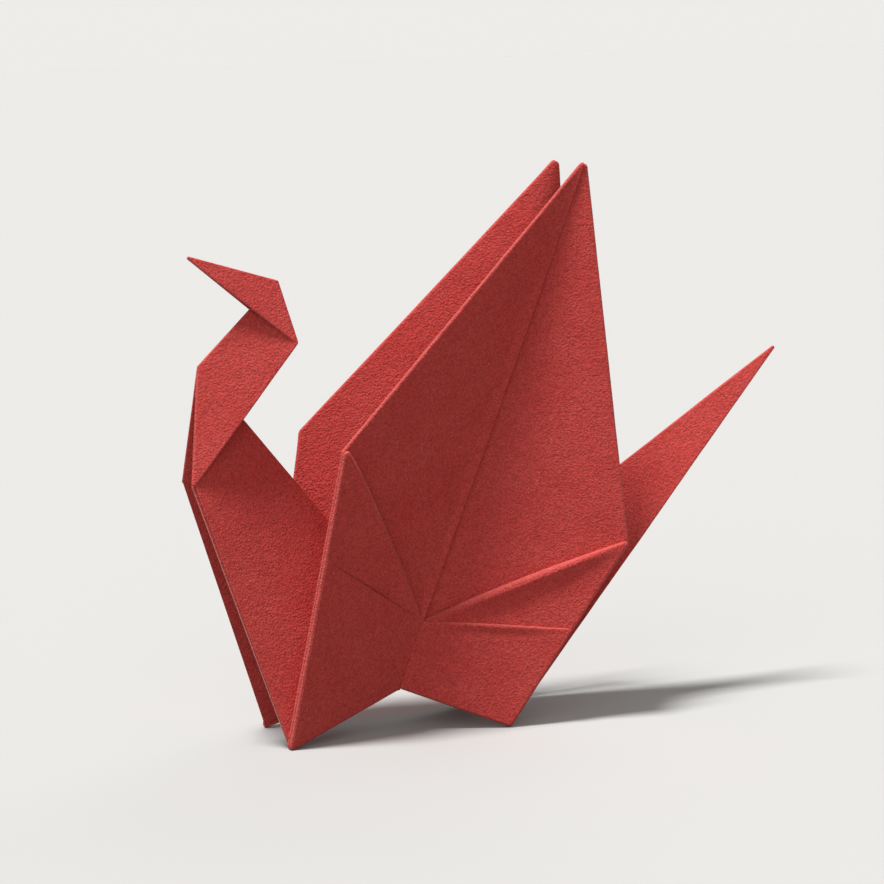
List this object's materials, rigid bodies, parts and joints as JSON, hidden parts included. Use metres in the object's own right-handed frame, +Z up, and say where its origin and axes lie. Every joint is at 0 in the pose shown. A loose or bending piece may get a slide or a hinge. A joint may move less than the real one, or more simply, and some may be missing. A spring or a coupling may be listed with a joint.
{
  "type": "origami crane",
  "caption": "Paper crane folded from one square sheet, standing on its folded feet, with raised wings, a bent neck and head, and a pointed tail.",
  "frame": {"origin": "middle of the bounding box, on the surface that the four folded feet stand on", "axes": "+X from the head to the tail, +Y across the body, the left and right halves mirror across the XZ plane, +Z up"},
  "size_m": [0.0872, 0.0232, 0.0775],
  "materials": {
    "paper": "uncoated rough craft paper, dyed red through its whole thickness"
  },
  "bodies": {
    "root": {"folded_crane": "paper"}
  },
  "joints": []
}
